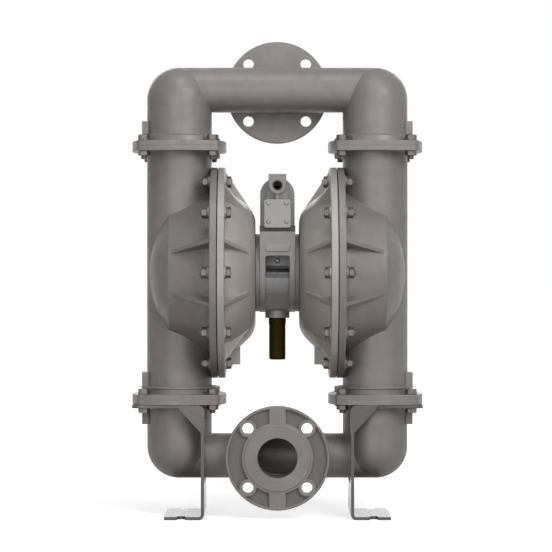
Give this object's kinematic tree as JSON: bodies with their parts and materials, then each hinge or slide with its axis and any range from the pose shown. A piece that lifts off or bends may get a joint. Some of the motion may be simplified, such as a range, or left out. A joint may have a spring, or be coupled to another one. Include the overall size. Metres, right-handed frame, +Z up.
{
  "type": "air operated diaphragm pump",
  "caption": "Metal air operated diaphragm pump: bolted disc chambers beside a centre block with air valve and muffler, tube manifolds with flanged ports, on bent plate stands.",
  "frame": {"origin": "on the floor, under the middle of the pump's bounding box", "axes": "+Z up, +X to the right as seen in the picture, -Y towards the front with the inlet port and air valve"},
  "size_m": [0.5358, 0.389, 0.8832],
  "materials": {
    "cast_metal": "satin as cast, warm grey",
    "stand_paint": "satin grey",
    "zinc_steel": "zinc plated",
    "dark_steel": "black oxide",
    "ground_steel": "ground",
    "piston_steel": "turned",
    "spool_metal": "anodised",
    "bronze": "turned",
    "rubber": "matte",
    "ball_plastic": "smooth white",
    "dark_plastic": "matte",
    "muffler_plastic": "matte, olive black"
  },
  "bodies": {
    "pump_body": {"air_valve_base": "dark_plastic", "air_valve_body": "cast_metal", "air_valve_cover": "cast_metal", "air_valve_gasket": "rubber", "air_valve_screws": "zinc_steel", "centre_block": "cast_metal", "cover_screws": "dark_steel", "discharge_manifold": "cast_metal", "hub_screws": "zinc_steel", "inlet_manifold": "cast_metal", "joint_washers": "zinc_steel", "left_air_chamber": "cast_metal", "left_chamber_bolts": "zinc_steel", "left_chamber_nuts": "zinc_steel", "left_chamber_washers": "zinc_steel", "left_diaphragm": "rubber", "left_discharge_seat": "piston_steel", "left_discharge_seat_seal": "rubber", "left_hub_gasket": "rubber", "left_inlet_seat": "piston_steel", "left_inlet_seat_seal": "rubber", "left_liquid_chamber": "cast_metal", "left_shaft_bushing": "bronze", "left_shaft_seal": "rubber", "left_stand": "stand_paint", "lower_joint_bolts": "zinc_steel", "lower_joint_nuts": "zinc_steel", "muffler": "muffler_plastic", "pilot_sleeve": "dark_steel", "right_air_chamber": "cast_metal", "right_chamber_bolts": "zinc_steel", "right_chamber_nuts": "zinc_steel", "right_chamber_washers": "zinc_steel", "right_diaphragm": "rubber", "right_discharge_seat": "piston_steel", "right_discharge_seat_seal": "rubber", "right_hub_gasket": "rubber", "right_inlet_seat": "piston_steel", "right_inlet_seat_seal": "rubber", "right_liquid_chamber": "cast_metal", "right_shaft_bushing": "bronze", "right_shaft_seal": "rubber", "right_stand": "stand_paint", "upper_joint_bolts": "zinc_steel", "upper_joint_nuts": "zinc_steel", "window_screw": "dark_steel"},
    "shaft": {"main_shaft": "ground_steel", "left_inner_piston": "piston_steel", "left_outer_piston": "piston_steel", "left_disc_spring": "ground_steel", "right_inner_piston": "piston_steel", "right_outer_piston": "piston_steel", "right_disc_spring": "ground_steel"},
    "pilot": {"pilot_spool": "ground_steel"},
    "valve_spool": {"air_valve_spool": "spool_metal"},
    "left_inlet_ball_body": {"left_inlet_ball": "ball_plastic"},
    "left_discharge_ball_body": {"left_discharge_ball": "ball_plastic"},
    "right_inlet_ball_body": {"right_inlet_ball": "ball_plastic"},
    "right_discharge_ball_body": {"right_discharge_ball": "ball_plastic"}
  },
  "joints": [
    {"name": "shaft_slide", "type": "slide", "parent": "pump_body", "child": "shaft", "axis": [1, 0, 0], "range_m": [-0.038, 0.038], "deforming": ["left_diaphragm", "right_diaphragm"]},
    {"name": "pilot_slide", "type": "slide", "parent": "pump_body", "child": "pilot", "axis": [1, 0, 0], "range_m": [-0.006, 0.006]},
    {"name": "valve_spool_slide", "type": "slide", "parent": "pump_body", "child": "valve_spool", "axis": [0, 0, 1], "range_m": [0, 0.012]},
    {"name": "left_inlet_ball_lift", "type": "slide", "parent": "pump_body", "child": "left_inlet_ball_body", "axis": [0, 0, 1], "range_m": [0, 0.022]},
    {"name": "left_discharge_ball_lift", "type": "slide", "parent": "pump_body", "child": "left_discharge_ball_body", "axis": [0, 0, 1], "range_m": [0, 0.022]},
    {"name": "right_inlet_ball_lift", "type": "slide", "parent": "pump_body", "child": "right_inlet_ball_body", "axis": [0, 0, 1], "range_m": [0, 0.022]},
    {"name": "right_discharge_ball_lift", "type": "slide", "parent": "pump_body", "child": "right_discharge_ball_body", "axis": [0, 0, 1], "range_m": [0, 0.022]}
  ],
  "couplings": [
    {"joint": "pilot_slide", "follows": "shaft_slide", "ratio": 0.1578}
  ]
}
